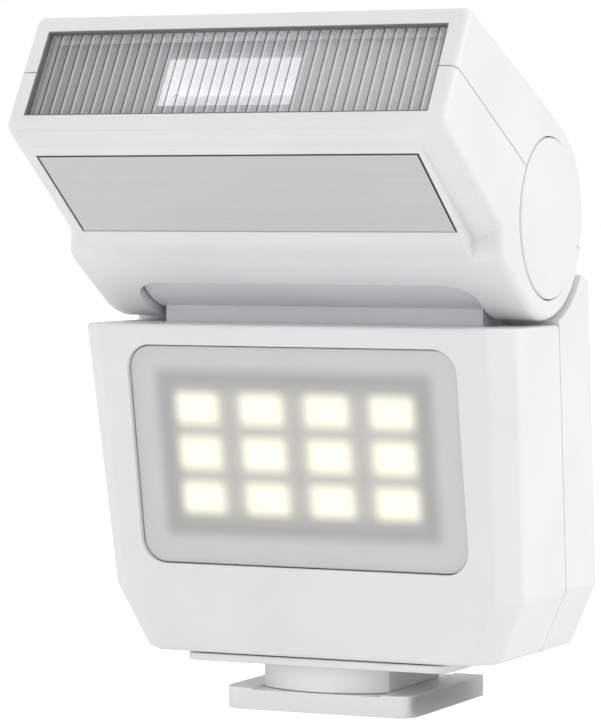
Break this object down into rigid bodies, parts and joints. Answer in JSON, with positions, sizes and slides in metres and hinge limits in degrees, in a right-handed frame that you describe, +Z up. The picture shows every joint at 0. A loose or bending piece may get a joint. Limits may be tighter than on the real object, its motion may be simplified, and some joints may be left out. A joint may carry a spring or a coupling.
{
  "type": "speedlight flash",
  "caption": "Pocket camera flash with a tilting ribbed flash head, a square LED light panel on the body and a hot-shoe foot.",
  "frame": {"origin": "centre of the underside of the hot-shoe foot", "axes": "+X to the right as seen from the front, the lens and LED panel face -Y, +Z up"},
  "size_m": [0.0422, 0.0411, 0.0626],
  "materials": {
    "shell_white": "satin white moulded plastic",
    "hinge_grey": "satin light grey plastic",
    "label_silver": "brushed silver-grey label sheet",
    "lens_clear": "clear ribbed plastic",
    "opal": "frosted translucent white",
    "foot_metal": "satin silver metal",
    "contact_gold": "polished gold plate",
    "screw_steel": "plain steel",
    "reflector_metal": "mirror-bright aluminised",
    "tube_glass": "clear glass",
    "frame_grey": "matt mid grey",
    "gasket_grey": "dark grey rubber",
    "black_plastic": "matt black",
    "board_green": "green solder mask",
    "led_yellow": "phosphor yellow on white",
    "battery_foil": "silver foil pouch",
    "sleeve_dark": "dark shrink sleeve",
    "washer_nylon": "natural nylon"
  },
  "bodies": {
    "body": {"body_front_shell": "shell_white", "body_rear_shell": "shell_white", "base_plate": "shell_white", "led_frame": "shell_white", "hinge_knuckle": "hinge_grey", "indicator_lens": "lens_clear", "led_diffuser": "opal", "shoe_foot": "foot_metal", "contact_spring": "screw_steel", "foot_screw_left": "screw_steel", "foot_screw_right": "screw_steel", "base_screw_1": "screw_steel", "base_screw_2": "screw_steel", "base_screw_3": "screw_steel", "base_screw_4": "screw_steel", "charge_port": "screw_steel", "contact_insulator": "black_plastic", "booster_transformer": "black_plastic", "test_button_switch": "black_plastic", "level_button_switch": "black_plastic", "mode_switch_body": "black_plastic", "port_tongue": "black_plastic", "led_board": "board_green", "main_board": "board_green", "led_array": "led_yellow", "battery": "battery_foil", "flash_capacitor": "sleeve_dark"},
    "head": {"head_upper_shell": "shell_white", "head_lower_shell": "shell_white", "label_plate": "label_silver", "flash_lens": "lens_clear", "lens_gasket": "gasket_grey", "reflector_frame": "frame_grey", "flash_reflector": "reflector_metal", "flash_tube": "tube_glass", "tube_end_left": "black_plastic", "tube_end_right": "black_plastic", "trigger_coil": "black_plastic", "head_board": "board_green", "head_screw_left": "screw_steel", "head_screw_right": "screw_steel", "hinge_pin_left": "screw_steel", "hinge_pin_right": "screw_steel", "hinge_cap_left": "shell_white", "hinge_cap_right": "shell_white", "friction_washer_left": "washer_nylon", "friction_washer_right": "washer_nylon"},
    "contact": {"centre_contact": "contact_gold"},
    "test_button": {"test_button": "hinge_grey"},
    "level_button": {"level_button": "hinge_grey"},
    "mode_slider": {"mode_slider": "hinge_grey"}
  },
  "joints": [
    {"name": "head_tilt", "type": "hinge", "parent": "body", "child": "head", "pos_m": [0, -0.00526, 0.04457], "axis": [-1, 0, 0], "range_deg": [-32, 58]},
    {"name": "contact_press", "type": "slide", "parent": "body", "child": "contact", "axis": [0, 0, 1], "range_m": [0, 0.0004], "stiffness_N_per_m": 300, "deforming": ["contact_spring"]},
    {"name": "test_press", "type": "slide", "parent": "body", "child": "test_button", "axis": [0, -1, 0], "range_m": [0, 0.0004], "stiffness_N_per_m": 500},
    {"name": "level_press", "type": "slide", "parent": "body", "child": "level_button", "axis": [0, -1, 0], "range_m": [0, 0.0004], "stiffness_N_per_m": 500},
    {"name": "mode_slide", "type": "slide", "parent": "body", "child": "mode_slider", "axis": [1, 0, 0], "range_m": [-0.002, 0.002]}
  ]
}
